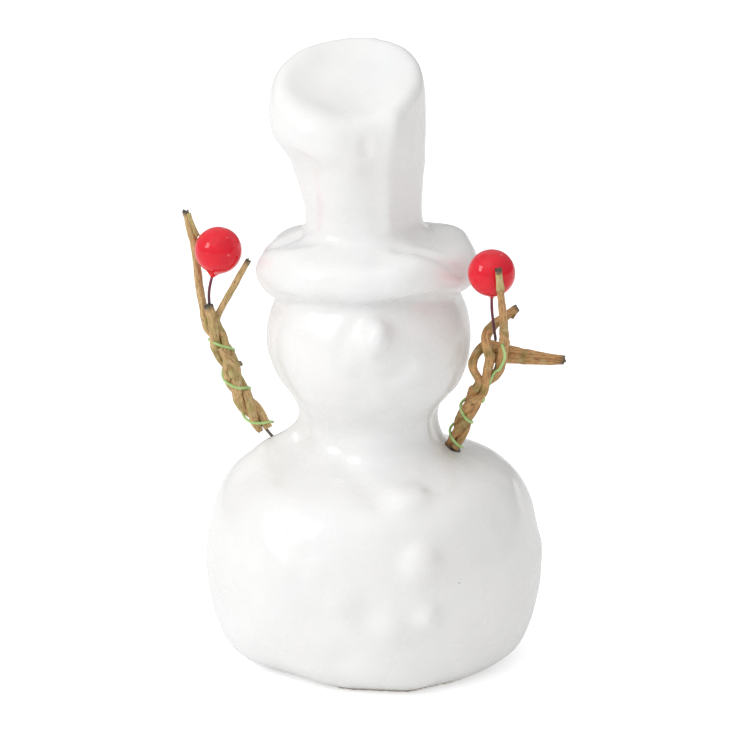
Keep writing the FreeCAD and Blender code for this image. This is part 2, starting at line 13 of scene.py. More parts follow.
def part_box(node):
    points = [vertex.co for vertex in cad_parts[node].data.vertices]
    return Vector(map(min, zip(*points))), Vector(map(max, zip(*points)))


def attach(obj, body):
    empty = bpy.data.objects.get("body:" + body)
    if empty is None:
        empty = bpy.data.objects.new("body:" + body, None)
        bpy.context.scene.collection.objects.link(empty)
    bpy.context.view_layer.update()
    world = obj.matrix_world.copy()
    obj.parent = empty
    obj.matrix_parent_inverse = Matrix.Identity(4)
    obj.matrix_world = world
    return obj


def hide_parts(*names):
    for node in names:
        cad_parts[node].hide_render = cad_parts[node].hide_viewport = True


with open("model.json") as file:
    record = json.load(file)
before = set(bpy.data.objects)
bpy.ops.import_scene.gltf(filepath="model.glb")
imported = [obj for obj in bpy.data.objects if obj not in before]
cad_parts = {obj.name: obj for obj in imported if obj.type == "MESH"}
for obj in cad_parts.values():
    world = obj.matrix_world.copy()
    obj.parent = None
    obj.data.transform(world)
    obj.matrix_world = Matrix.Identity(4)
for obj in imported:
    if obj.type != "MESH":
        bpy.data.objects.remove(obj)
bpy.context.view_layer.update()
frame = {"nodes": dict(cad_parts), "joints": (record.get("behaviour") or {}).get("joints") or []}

# Everything is shaped in millimetres and set in place in metres.
MM = 0.001
RANDOM = random.Random(11)
FRONT = Vector((0, -1, 0))
UP = Vector((0, 0, 1))
SPIN_STEPS = 96


def joint_named(name):
    return next(joint for joint in frame["joints"] if joint["name"] == name)


def in_mm(values):
    return Vector(values) / MM


def node_middle(node):
    low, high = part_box(node)
    return (low + high) / 2 / MM


# Shared mesh helpers


def scene_object(name, mesh):
    thing = bpy.data.objects.new(name, mesh)
    bpy.context.scene.collection.objects.link(thing)
    return thing


def rough_object(form):
    """A throwaway object that modifiers can work on."""
    mesh = bpy.data.meshes.new("rough_form")
    form.to_mesh(mesh)
    form.free()
    return scene_object("rough_form", mesh)


def worked(thing):
    """The mesh that an object's modifiers make, as a form; the object is thrown away."""
    shown = bpy.context.evaluated_depsgraph_get()
    mesh = bpy.data.meshes.new_from_object(thing.evaluated_get(shown))
    form = bmesh.new()
    form.from_mesh(mesh)
    bpy.data.meshes.remove(mesh)
    bpy.data.objects.remove(thing)
    return form


def add_to(form, extra):
    """Adds another form's faces to a form."""
    mesh = bpy.data.meshes.new("extra_form")
    extra.to_mesh(mesh)
    extra.free()
    form.from_mesh(mesh)
    bpy.data.meshes.remove(mesh)


def set_in_place(form, name, body, materials, nodes=()):
    """Makes a finished piece from a form: its place goes in its mesh, and it rides on its body."""
    bmesh.ops.scale(form, vec=(MM, MM, MM), verts=form.verts)
    mesh = bpy.data.meshes.new(name)
    form.to_mesh(mesh)
    form.free()
    for material in materials:
        mesh.materials.append(material)
    mesh.shade_smooth()
    piece = scene_object(name, mesh)
    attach(piece, body)
    if nodes:
        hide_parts(*nodes)
    return piece


def spun(outline):
    """A closed form turned about the upright axis from an outline of (radius, height)."""
    form = bmesh.new()
    corners = [form.verts.new((radius, 0, height)) for radius, height in outline]
    for start, end in zip(corners, corners[1:]):
        form.edges.new((start, end))
    bmesh.ops.spin(form, geom=form.verts[:] + form.edges[:], cent=(0, 0, 0), axis=(0, 0, 1),
                   dvec=(0, 0, 0), angle=2 * math.pi, steps=SPIN_STEPS, use_merge=True)
    bmesh.ops.remove_doubles(form, verts=form.verts, dist=0.001)
    bmesh.ops.recalc_face_normals(form, faces=form.faces)
    return form


def ball(centre, radius, stretch=(1, 1, 1)):
    form = bmesh.new()
    bmesh.ops.create_uvsphere(form, u_segments=32, v_segments=20, radius=radius)
    bmesh.ops.scale(form, vec=stretch, verts=form.verts)
    bmesh.ops.translate(form, vec=centre, verts=form.verts)
    return form


def dab_of_clay(centre, outward, reach, width, length):
    """An oval dab: reach outward, width across, length upright."""
    form = ball((0, 0, 0), 1, (width, reach, length))
    turn = FRONT.rotation_difference(outward).to_matrix().to_4x4()
    form.transform(Matrix.Translation(centre) @ turn)
    return form


def ring_stack(rings, sides):
    """A closed form through rings, each given by the matrix that places a unit circle."""
    form = bmesh.new()
    made = bmesh.ops.create_circle(form, cap_ends=True, segments=sides, radius=1)
    rim = made["verts"]
    last = rings[0]
    bmesh.ops.transform(form, matrix=last, verts=rim)
    for ring in rings[1:]:
        edges = [edge for edge in form.edges if edge.verts[0] in rim and edge.verts[1] in rim]
        made = bmesh.ops.extrude_edge_only(form, edges=edges)
        rim = [part for part in made["geom"] if isinstance(part, bmesh.types.BMVert)]
        bmesh.ops.transform(form, matrix=ring @ last.inverted(), verts=rim)
        last = ring
    close_holes(form)
    return form


def close_holes(form):
    edges = [edge for edge in form.edges if edge.is_boundary]
    if edges:
        made = bmesh.ops.holes_fill(form, edges=edges, sides=0)
        bmesh.ops.triangulate(form, faces=made["faces"])
    bmesh.ops.recalc_face_normals(form, faces=form.faces)


# The clay figure

HEAD_MIDDLE = Vector((node_middle("snow_head").x, 0, 84.0))
HEAD_RADIUS = 26.2
HAT_SHIFT = HEAD_MIDDLE.x
LEFT_MOUTH = in_mm(joint_named("left_arm_twist")["pos_m"])
LEFT_AXIS = Vector(joint_named("left_arm_twist")["axis"])
RIGHT_MOUTH = in_mm(joint_named("right_arm_twist")["pos_m"])
RIGHT_AXIS = Vector(joint_named("right_arm_twist")["axis"])

CLAY_GRAIN = 0.8

BODY_OUTLINE = [
    (0, 0), (28, 0), (31.4, 0.5), (34.8, 2.0), (37.7, 4.2), (39.5, 6.8), (41.2, 12), (42.5, 19),
    (43.0, 26), (42.5, 33), (40.7, 41), (38.9, 45.6), (36.2, 49), (32.4, 51.4), (25.4, 53.8),
    (19.6, 56), (18.1, 59), (17.6, 64), (16, 70), (0, 70),
]

BRIM_OUTLINE = [
    (0, 97.4), (16, 97.2), (22.2, 96.6), (25.2, 97.2), (27.1, 99.4), (27.9, 102.4), (27.7, 105.6),
    (26.4, 108.4), (23.8, 110.2), (19, 111.6), (14, 112.6), (0, 112.8),
]

# Height, shift along X, radius and tilt of each ring of the crown, which tilt toward its facing
CROWN_RINGS = [
    (108.0, -2.2, 16.8, 0), (113.0, -2.6, 15.6, 0), (118.0, -2.9, 15.1, 0), (126.0, -3.9, 16.1, 0),
    (131.3, -4.3, 17.1, 0), (134.5, -5.4, 18.2, 3), (139.0, -6.6, 19.6, 8), (144.5, -7.0, 20.1, 14),
    (149.2, -6.9, 19.9, 19), (152.0, -6.8, 19.0, 22), (153.3, -6.8, 17.7, 23), (153.5, -6.8, 16.2, 24),
    (152.7, -6.8, 13.8, 24), (151.6, -6.8, 10.0, 24), (151.0, -6.8, 5.0, 24),
]
CROWN_FACING = Matrix.Rotation(math.radians(-24), 4, "Z")


def crown_form():
    rings = []
    for height, shift, radius, tilt in CROWN_RINGS:
        place = Matrix.Translation((shift, 0, height))
        lean = CROWN_FACING @ Matrix.Rotation(math.radians(tilt), 4, "X") @ CROWN_FACING.inverted()
        rings.append(place @ lean @ Matrix.Diagonal((radius, radius, radius, 1)))
    return ring_stack(rings, 64)


def brim_form():
    """A thick roll that droops at the sides and lifts over the face."""
    form = spun(BRIM_OUTLINE)
    for vert in form.verts:
        out = math.hypot(vert.co.x, vert.co.y)
        if out < 12:
            continue
        turn = math.atan2(vert.co.x, -vert.co.y)
        facing = max(0.0, math.cos(turn - 0.1))
        low = max(0.0, (104.0 - vert.co.z) / 7.5)
        wave = 0.5 * math.sin(3 * turn + 1.2) + 0.35 * math.sin(5 * turn + 0.4)
        vert.co.z += 3.6 * facing * low + wave * min(1.0, (out - 12) / 10)
        grow = 1 + 0.012 * math.sin(4 * turn + 0.8) + 0.01 * math.sin(7 * turn)
        vert.co.x *= grow
        vert.co.y *= grow
    bmesh.ops.translate(form, vec=(HAT_SHIFT, 0, 0), verts=form.verts)
    return form


NOSE_OUTWARD = Vector((-0.126, -0.958, 0.259))
NOSE_PLACE = HEAD_MIDDLE + NOSE_OUTWARD * HEAD_RADIUS

# Name, height, turn toward +X, distance from the middle line, upward slope, radius
BUTTONS = [
    ("top_button", 51.0, 3.3, 32.2, 62, 5.2),
    ("middle_button", 36.0, 4.0, 41.9, 12, 5.0),
    ("bottom_button", 22.0, 6.0, 42.7, -4, 3.6),
]


def button_place(height, turn, out):
    angle = math.radians(turn)
    return Vector((out * math.sin(angle), -out * math.cos(angle), height))


def button_outward(turn, slope):
    angle = math.radians(turn)
    lift = math.radians(slope)
    flat = math.cos(lift)
    return Vector((flat * math.sin(angle), -flat * math.cos(angle), math.sin(lift)))


# Clay pushed up between the neck and the left arm, and round the right arm
SHOULDER_FILL = [
    ((-17.6, 3.4, 61.4), 3.8), ((-19.6, 4.2, 58.6), 3.6), ((-21.8, 5.2, 55.8), 3.6),
    ((-24.3, 6.1, 53.0), 3.9), ((18.4, -4.8, 52.2), 3.2),
]


def clay_lump():
    """All the clay forms pressed together, before they are smoothed into one skin."""
    lump = spun(BODY_OUTLINE)
    add_to(lump, ball(HEAD_MIDDLE, HEAD_RADIUS))
    add_to(lump, brim_form())
    add_to(lump, crown_form())
    add_to(lump, dab_of_clay(NOSE_PLACE, NOSE_OUTWARD, 5.6, 3.8, 5.0))
    for _, height, turn, out, slope, radius in BUTTONS:
        place = button_place(height, turn, out)
        add_to(lump, dab_of_clay(place, button_outward(turn, slope), 2.5, radius, radius))
    for centre, radius in SHOULDER_FILL:
        add_to(lump, ball(centre, radius))
    return lump


class Skin:
    """The clay's surface as points that thumbs and tools move along their normals."""

    def __init__(self, form):
        self.form = form
        self.refresh()

    def refresh(self):
        self.form.normal_update()

    def soften(self, passes, where=None):
        verts = self.form.verts[:]
        if where is not None:
            verts = [vert for vert in verts if where(vert.co)]
        for _ in range(passes):
            bmesh.ops.smooth_vert(self.form, verts=verts, factor=0.5,
                                  use_axis_x=True, use_axis_y=True, use_axis_z=True)
        self.refresh()

    def near(self, place, reach):
        return [vert for vert in self.form.verts if (vert.co - place).length_squared < reach * reach]

    def press(self, place, radius, depth):
        """A soft dent, or a soft bump where the depth is negative."""
        place = Vector(place)
        for vert in self.near(place, 2.5 * radius):
            share = (vert.co - place).length / radius
            vert.co -= vert.normal * (depth * math.exp(-share * share))

    def draw(self, path, radius, lift):
        """A ridge along a path, or a groove where the lift is negative."""
        path = [Vector(point) for point in path]
        middle = sum(path, Vector()) / len(path)
        reach = max((point - middle).length for point in path) + 2.5 * radius
        for vert in self.near(middle, reach):
            gap = min(run_distance(vert.co, a, b) for a, b in zip(path, path[1:]))
            share = gap / radius
            vert.co += vert.normal * (lift * math.exp(-share * share))


def run_distance(point, start, end):
    run = end - start
    share = (point - start).dot(run) / run.length_squared
    share = min(1.0, max(0.0, share))
    return (point - start - run * share).length


# Place, radius and depth of each thumb mark; a negative depth is a bump
THUMB_MARKS = [
    ((-21.5, -1.0, 70.0), 9.0, 2.0), ((24.0, 4.0, 90.0), 8.0, -0.9), ((-8.5, -23.0, 73.6), 3.6, 0.6),
    ((-2.5, -21.2, 68.6), 3.4, 0.6), ((6.6, -24.8, 83.1), 3.0, -0.7), ((-16.0, -21.5, 98.0), 6.0, 0.5),
    ((-11.2, -41.5, 23.2), 4.2, 1.5), ((-30.0, 5.0, 52.5), 8.0, -2.2), ((-33.3, -2.7, 50.8), 4.0, 0.5),
    ((-42.0, 2.0, 33.0), 14.0, -1.2), ((-28.0, 2.0, 56.5), 6.0, -1.6), ((-11.7, -17.0, 56.0), 3.2, 0.6),
    ((17.6, -7.6, 63.0), 7.0, 2.6),
    ((-16.6, -36.8, 10.5), 3.8, 0.8), ((-3.5, -42.4, 19.6), 4.0, -0.6), ((14.5, -39.6, 17.4), 4.5, -0.6),
    ((-22.6, -35.8, 34.2), 3.4, -0.5), ((-31.0, -27.0, 45.0), 6.0, 0.7), ((-38.0, -18.0, 27.0), 7.0, 0.5),
    ((35.5, -14.0, 46.0), 8.0, 1.3), ((39.5, -16.0, 31.5), 5.0, -0.9), ((33.0, -15.0, 50.0), 4.0, -0.6),
    ((24.0, -34.0, 5.0), 8.0, 1.2), ((-30.0, -24.0, 4.5), 9.0, 1.4), ((2.0, -36.5, 3.0), 7.0, -1.0),
    ((-3.3, -22.2, 110.1), 3.4, 0.8), ((-8.8, -17.2, 132.5), 3.2, -0.7), ((-21.0, -6.0, 126.0), 6.0, 0.7),
    ((-25.5, -3.0, 140.0), 5.0, -0.5), ((-24.0, 9.0, 108.0), 5.0, 1.0), ((24.0, 8.0, 109.5), 6.0, -1.0),
    ((-29.5, 1.0, 105.0), 6.0, -1.2), ((-8.0, -17.0, 146.0), 9.0, 1.9),
]

# Path, radius and lift of each drawn mark; a negative lift is a groove
DRAWN_MARKS = [
    ([(-11.0, -22.6, 93.2), (-14.3, -22.7, 86.8), (-11.4, -24.3, 83.4)], 1.8, -0.35),
    ([(-9.4, -24.9, 81.9), (-5.8, -25.6, 80.1), (-1.3, -25.9, 80.2), (2.6, -25.8, 83.0)], 1.8, -0.8),
    ([(9.9, -22.7, 77.9), (16.5, -18.6, 80.9)], 2.0, -0.5),
    ([(-13.5, -13.8, 60.7), (-9.5, -20.2, 54.4), (-6.7, -33.7, 50.4)], 3.0, -0.7),
    ([(-33.5, -23.9, 39.2), (-29.5, -30.8, 31.7)], 3.0, 0.6),
    ([(-29.5, 3.5, 106.5), (-25.0, 0.5, 110.4), (-20.0, 2.0, 112.2)], 2.6, -1.5),
    ([(-28.6, -4.0, 105.0), (-24.0, -8.5, 109.4), (-17.0, -12.0, 112.0)], 2.4, 0.7),
    ([(2.4, -18.2, 111.4), (8.9, -19.0, 110.3), (16.1, -19.6, 107.2), (20.5, -18.0, 105.0)], 1.7, -1.3),
    ([(5.5, -23.8, 108.7), (11.4, -23.5, 106.3), (18.0, -19.4, 103.0)], 2.2, 0.8),
    ([(-6.5, -19.5, 142.2), (-6.2, -19.5, 137.2)], 1.4, -1.1),
    ([(1.9, -16.6, 144.8), (-0.4, -17.7, 135.0), (0.4, -15.8, 126.2), (0.8, -14.6, 116.7)], 2.4, 0.9),
    ([(10.6, -9.6, 143.0), (9.0, -9.0, 130.0), (8.6, -8.4, 118.0)], 5.0, -0.9),
    ([(-24.5, -8.5, 149.0), (-20.0, -15.0, 145.6), (-14.0, -18.5, 143.4)], 2.2, 0.5),
]

THUMB_COUNT = 150
FOOT_WEAR = 0.45


def press_all_over(skin):
    """Shallow finger marks all over, which leave the clay softly faceted."""
    places = [vert.co.copy() for vert in RANDOM.sample(skin.form.verts[:], THUMB_COUNT)]
    for place in places:
        skin.press(place, RANDOM.uniform(4.5, 8.5), RANDOM.uniform(-0.12, 0.42))
    skin.refresh()
    for vert in skin.form.verts:
        slow = noise.noise(vert.co / 16 + Vector((3.1, 0.7, 5.2)))
        quick = noise.noise(vert.co / 6.5 + Vector((7.3, 1.1, 2.6)))
        vert.co += vert.normal * (0.55 * slow + 0.16 * quick)


def clay_skin():
    lump = rough_object(clay_lump())
    grain = lump.modifiers.new("grain", "REMESH")
    grain.mode = "VOXEL"
    grain.voxel_size = CLAY_GRAIN
    skin = Skin(worked(lump))
    skin.soften(16)
    skin.soften(45, where=lambda place: 53 < place.z < 72)
    skin.soften(10, where=lambda place: 110 < place.z < 117)
    for place, radius, depth in THUMB_MARKS:
        skin.press(place, radius, depth)
    skin.refresh()
    for path, radius, lift in DRAWN_MARKS:
        skin.draw(path, radius, lift)
    skin.refresh()
    press_all_over(skin)
    skin.soften(4)
    rest_on_foot(skin)
    return skin.form


def rest_on_foot(skin):
    """The foot stands flat on the table."""
    for vert in skin.form.verts:
        if vert.co.z < FOOT_WEAR:
            vert.co.z = 0
    skin.refresh()


# Cutting the skin into the figure's clay pieces


def parted(form, place, normal):
    """Cuts a form along a plane, and returns the part beyond it; both are closed again."""
    beyond = form.copy()
    everything = beyond.verts[:] + beyond.edges[:] + beyond.faces[:]
    bmesh.ops.bisect_plane(beyond, geom=everything, plane_co=place, plane_no=normal, clear_inner=True)
    everything = form.verts[:] + form.edges[:] + form.faces[:]
    bmesh.ops.bisect_plane(form, geom=everything, plane_co=place, plane_no=normal, clear_outer=True)
    close_holes(form)
    close_holes(beyond)
    return beyond


def lifted_off(form, place, normal, reach):
    """Cuts off only the dab of clay round a place, and returns it; both are closed again."""
    around = [face for face in form.faces if (face.calc_center_median() - place).length < reach]
    edges = {edge for face in around for edge in face.edges}
    verts = {vert for face in around for vert in face.verts}
    bmesh.ops.bisect_plane(form, geom=around + list(edges) + list(verts), plane_co=place, plane_no=normal)
    form.faces.index_update()
    dab = set()
    for face in form.faces:
        away = face.calc_center_median() - place
        if away.length < reach and away.dot(normal) > 0:
            dab.add(face.index)
    piece = form.copy()
    piece.faces.index_update()
    rest = [face for face in piece.faces if face.index not in dab]
    bmesh.ops.delete(piece, geom=rest, context="FACES")
    bmesh.ops.delete(form, geom=[face for face in form.faces if face.index in dab], context="FACES")
    close_holes(form)
    close_holes(piece)
    return piece


def bored(form, tool):
    """Cuts a closed tool out of a closed form."""
    stock = rough_object(form)
    cutter = rough_object(tool)
    step = stock.modifiers.new("bore", "BOOLEAN")
    step.operation = "DIFFERENCE"
    step.solver = "EXACT"
    step.object = cutter
    result = worked(stock)
    bpy.data.objects.remove(cutter)
    return result


HAT_CUT = Vector((0, 0, 98.4))
HAT_CUT_NORMAL = Vector((0, -0.06, 1)).normalized()
CROWN_CUT = Vector((0, 0, 112.9))
NECK_CUT = Vector((0, 0, 58.0))
NOSE_RISE = 0.7
NOSE_REACH = 6.4
BUTTON_RISE = 0.9
BUTTON_SPREAD = 1.25
LEFT_HOLE_RADIUS = 1.3
RIGHT_HOLE_RADIUS = 2.3

HOLLOW_OUTLINE = [
    (0, -3), (7, -3), (7, 5.6), (8, 6.2), (31, 6.4), (34.5, 11), (36.6, 19), (37, 27), (34, 37),
    (26, 43), (12, 46), (0, 46.5),
]


def arm_hole(mouth, axis, radius):
    form = bmesh.new()
    bmesh.ops.create_cone(form, cap_ends=True, segments=40, radius1=radius, radius2=radius, depth=24)
    turn = UP.rotation_difference(axis).to_matrix().to_4x4()
    form.transform(Matrix.Translation(mouth - axis * 4) @ turn)
    return form


# How far a cut piece's point may lie from the skin and keep its shading, and a face its glaze
SAME_SKIN = 0.02
GLAZED_SKIN = 0.12


class GlazeNormals:
    """Gives every cut piece the shading of the one skin it came from, so no cut shows."""

    def __init__(self, skin):
        self.tree = BVHTree.FromBMesh(skin)
        skin.faces.ensure_lookup_table()
        self.corners = [[(vert.co.copy(), vert.normal.copy()) for vert in face.verts] for face in skin.faces]

    def normal_at(self, place):
        spot, _, index, gap = self.tree.find_nearest(place)
        if gap > SAME_SKIN:
            return None
        total = Vector()
        for corner, normal in self.corners[index]:
            total += normal / ((corner - spot).length + 1e-4)
        return total.normalized()

    def dress(self, form):
        """Marks the bare faces inside, and lists the glaze normals in vertex order."""
        normals = [self.normal_at(vert.co) for vert in form.verts]
        form.verts.index_update()
        for face in form.faces:
            _, _, _, gap = self.tree.find_nearest(face.calc_center_median())
            face.material_index = 0 if gap < GLAZED_SKIN else 1
        return [normal if normal is not None else Vector((0, 0, 0)) for normal in normals]


def clay_piece(form, name, glaze, materials):
    normals = glaze.dress(form)
    piece = set_in_place(form, name + "_skin", "figure", materials, [name])
    piece.data.normals_split_custom_set_from_vertices(normals)
    return piece


def build_clay(materials):
    skin = clay_skin()
    glaze = GlazeNormals(skin)
    pieces = {}
    nose_cut = NOSE_PLACE + NOSE_OUTWARD * NOSE_RISE
    pieces["nose"] = lifted_off(skin, nose_cut, NOSE_OUTWARD, NOSE_REACH)
    for name, height, turn, out, slope, radius in BUTTONS:
        outward = button_outward(turn, slope)
        place = button_place(height, turn, out) + outward * BUTTON_RISE
        pieces[name] = lifted_off(skin, place, outward, radius * BUTTON_SPREAD)
    hat = parted(skin, HAT_CUT, HAT_CUT_NORMAL)
    pieces["hat_crown"] = parted(hat, CROWN_CUT, UP)
    pieces["hat_brim"] = hat
    pieces["snow_head"] = parted(skin, NECK_CUT, UP)
    body = bored(skin, spun(HOLLOW_OUTLINE))
    body = bored(body, arm_hole(LEFT_MOUTH, LEFT_AXIS, LEFT_HOLE_RADIUS))
    body = bored(body, arm_hole(RIGHT_MOUTH, RIGHT_AXIS, RIGHT_HOLE_RADIUS))
    pieces["snow_body"] = body
    for name, form in pieces.items():
        clay_piece(form, name, glaze, materials)


# The twigs, as routes of offsets from the mouth of each arm's socket

LEFT_TWIST = [(-10.6, -1.9, 15.5), (-12.6, -2.5, 21.5), (-14.8, -2.8, 27.5), (-16.8, -2.4, 32.0)]
LEFT_OUTER_PRONG = [(-18.9, -1.2, 36.4), (-19.6, 0.6, 42.0), (-20.4, 2.9, 52.2), (-22.3, 4.6, 60.6)]
LEFT_SHORT_PRONG = [(-15.2, -2.6, 35.2), (-13.1, -4.2, 40.0), (-10.8, -5.8, 44.8), (-8.4, -7.2, 49.9)]
LEFT_STUB_PRONG = [(-17.2, -4.2, 34.4), (-18.2, -4.4, 38.0)]
LEFT_STEM = [(-17.9, -4.2, 37.2), (-17.8, -3.6, 41.8)]
LEFT_BERRY = (-15.3, -3.0, 51.8)
LEFT_CURL = [(-15.9, -6.6, 27.0), (-14.0, -7.2, 24.4), (-12.0, -6.9, 22.8), (-10.2, -6.0, 22.6)]

RIGHT_TWIST = [(4.1, -6.6, 14.8), (5.4, -8.8, 18.0)]
RIGHT_LOOP_PRONG = [(4.5, -10.6, 20.6), (3.0, -11.6, 23.4), (2.6, -11.8, 25.8), (4.1, -10.6, 27.9),
                    (7.2, -8.8, 29.0), (13.2, -8.6, 27.2), (19.9, -9.2, 25.9), (26.9, -9.7, 24.8)]
RIGHT_FRONT_PRONG = [(6.3, -11.6, 22.6), (6.6, -13.3, 27.2), (5.6, -13.3, 32.4), (8.1, -10.8, 34.9),
                     (11.5, -8.5, 36.2), (15.1, -6.2, 37.7)]
RIGHT_UP_PRONG = [(8.9, -10.2, 21.8), (9.8, -13.0, 26.0), (9.8, -15.0, 30.4), (9.0, -18.8, 35.2),
                  (7.8, -22.4, 40.2), (6.4, -26.0, 46.0), (4.8, -29.7, 54.2)]
RIGHT_SPLINT = [(7.6, -8.8, 26.0), (14.6, -9.6, 25.3), (21.0, -10.3, 24.4), (26.6, -10.3, 24.0)]
RIGHT_STEM = [(7.6, -15.4, 32.2), (6.6, -17.0, 37.2), (5.9, -18.2, 41.3)]
RIGHT_BERRY = (5.3, -20.4, 51.0)
RIGHT_WIRE_TOP = [(7.9, -12.0, 22.4), (8.7, -15.4, 24.6), (9.6, -17.2, 28.2), (8.8, -17.4, 31.6)]

TWIG_RING = 1.45
RIGHT_TWIG_RING = 1.2
WIRE_RING = 2.55
RIGHT_WIRE_RING = WIRE_RING - 0.25
WIRE_RADIUS = 0.36
STEM_RADIUS = 0.37
STEM_SINK = 4.4
BERRY_RADIUS = 5.98
TWIG_SIDES = 18
TWIG_STEP = 0.4
SPLINTER_LENGTH = 1.3
WORN_LENGTH = 2.2
KNOT_LENGTH = 0.9
SPAN_STEPS = 12
WIRE_SIDES = 10
WIRE_STEP = 0.45


def from_mouth(mouth, offsets):
    return [mouth + Vector(offset) for offset in offsets]


def twist_line(mouth, axis, offsets):
    return [mouth + axis * 0.2, mouth + axis * 8] + from_mouth(mouth, offsets)


def along(points, share):
    """The point and direction at a share of a bent line's length."""
    lengths = [(end - start).length for start, end in zip(points, points[1:])]
    left = share * sum(lengths)
    for start, end, length in zip(points, points[1:], lengths):
        if left <= length + 1e-9:
            return start + (end - start) * (left / length), (end - start).normalized()
        left -= length
    return points[-1], (points[-1] - points[-2]).normalized()


def wound(middle_line, ring, last_angle, turns, first_share, last_share, wander=0.0):
    """Points wound about a middle line, which end at last_angle (0 is +X, 90 is the back)."""
    count = max(2, round(abs(turns) * 8))
    points = []
    for index in range(count + 1):
        done = index / count
        share = first_share + (last_share - first_share) * done
        centre, direction = along(middle_line, share)
        side = (Vector((1, 0, 0)) - direction * direction.x).normalized()
        back = direction.cross(side)
        angle = math.radians(last_angle) - (1 - done) * turns * 2 * math.pi
        reach = ring + wander * noise.noise(Vector((index * 0.7, turns, ring)))
        points.append(centre + side * (reach * math.cos(angle)) + back * (reach * math.sin(angle)))
    return points


def flowing(points, step):
    """A smooth run through the points, with a station at every step of its length."""
    fine = []
    padded = [points[0] * 2 - points[1]] + points + [points[-1] * 2 - points[-2]]
    for before, start, end, after in zip(padded, padded[1:], padded[2:], padded[3:]):
        for index in range(SPAN_STEPS):
            t = index / SPAN_STEPS
            fine.append(0.5 * (2 * start + (end - before) * t
                               + (2 * before - 5 * start + 4 * end - after) * t * t
                               + (3 * start - before - 3 * end + after) * t ** 3))
    fine.append(points[-1])
    length = sum((b - a).length for a, b in zip(fine, fine[1:]))
    count = max(3, round(length / step))
    return [along(fine, index / count)[0] for index in range(count + 1)], length


def stations(points):
    """Frames that follow a route without spinning about it."""
    frames = []
    side = None
    for index, point in enumerate(points):
        before = points[max(0, index - 1)]
        after = points[min(len(points) - 1, index + 1)]
        direction = (after - before).normalized()
        if side is None:
            side = direction.orthogonal().normalized()
        side = (side - direction * side.dot(direction)).normalized()
        across = direction.cross(side)
        basis = Matrix((side, across, direction)).transposed().to_4x4()
        frames.append(Matrix.Translation(point) @ basis)
    return frames


def next_ring(form, rim):
    """Draws the last ring of a tube out into a new one, and returns the new ring's points."""
    edges = {edge for vert in rim for edge in vert.link_edges
             if edge.verts[0] in rim and edge.verts[1] in rim}
    made = bmesh.ops.extrude_edge_only(form, edges=list(edges))
    return {part for part in made["geom"] if isinstance(part, bmesh.types.BMVert)}


def thickness_at(widths, share):
    """Reads a list of (share, radius) with soft steps between."""
    for (start, low), (end, high) in zip(widths, widths[1:]):
        if share <= end:
            part = (share - start) / (end - start)
            part = part * part * (3 - 2 * part)
            return low + (high - low) * part
    return widths[-1][1]


class Twig:
    """A dry twig: a tapering tube with bark ridges, knots, a split and a broken end."""

    def __init__(self, points, widths, seed, knots=(), split=0.0, flat=0.12, ragged=0.9):
        self.route, self.length = flowing(points, TWIG_STEP)
        self.frames = stations(self.route)
        self.widths = widths
        self.seed = seed
        self.knots = knots
        self.split = split
        self.flat = flat
        self.ragged = ragged

    def radius(self, share, angle):
        """The bark's distance from the middle of the twig."""
        reach = thickness_at(self.widths, share)
        place = share * self.length
        rind = Vector((math.cos(angle) * 1.6, math.sin(angle) * 1.6, place * 0.16 + self.seed))
        lump = Vector((math.cos(angle) * 0.7, math.sin(angle) * 0.7, place * 0.5 + self.seed))
        reach *= 1 + 0.16 * noise.noise(rind * 1.7) + 0.10 * noise.noise(lump)
        reach *= 1 + self.flat * math.cos(2 * angle + place * 0.12 + self.seed)
        for spot, size in self.knots:
            bulge = math.exp(-(((share - spot) * self.length) / KNOT_LENGTH) ** 2)
            reach += size * bulge * (0.7 + 0.3 * math.cos(angle - self.seed))
        if self.split:
            edge = (math.cos(angle - self.seed) - 0.9) / 0.1
            reach *= 1 - self.split * max(0.0, edge)
        return reach

    def form(self):
        form = bmesh.new()
        tone = form.verts.layers.float_vector.new("run_line")
        wear = form.verts.layers.float.new("broken_end")
        made = bmesh.ops.create_circle(form, cap_ends=True, segments=TWIG_SIDES, radius=1)
        rim = set(made["verts"])
        count = len(self.frames)
        last = Matrix.Identity(4)
        for index, place in enumerate(self.frames):
            share = index / (count - 1)
            if index:
                rim = next_ring(form, rim)
            for vert in rim:
                local = last.inverted() @ vert.co
                angle = math.atan2(local.y, local.x)
                reach = self.radius(share, angle)
                slip = self.broken(share, angle)
                spot = Vector((math.cos(angle) * reach, math.sin(angle) * reach, slip))
                vert.co = place @ spot
                vert[tone] = (math.cos(angle), math.sin(angle), share * self.length + self.seed * 9)
                vert[wear] = max(0.0, 1 - (1 - share) * self.length / WORN_LENGTH)
            last = place
        close_holes(form)
        return form

    def broken(self, share, angle):
        """How far the splintered last rings stand out along the twig."""
        left = (1 - share) * self.length
        if left > SPLINTER_LENGTH:
            return 0.0
        tooth = noise.noise(Vector((math.cos(angle) * 2.3, math.sin(angle) * 2.3, self.seed * 3.7)))
        return self.ragged * tooth * (1 - left / SPLINTER_LENGTH)


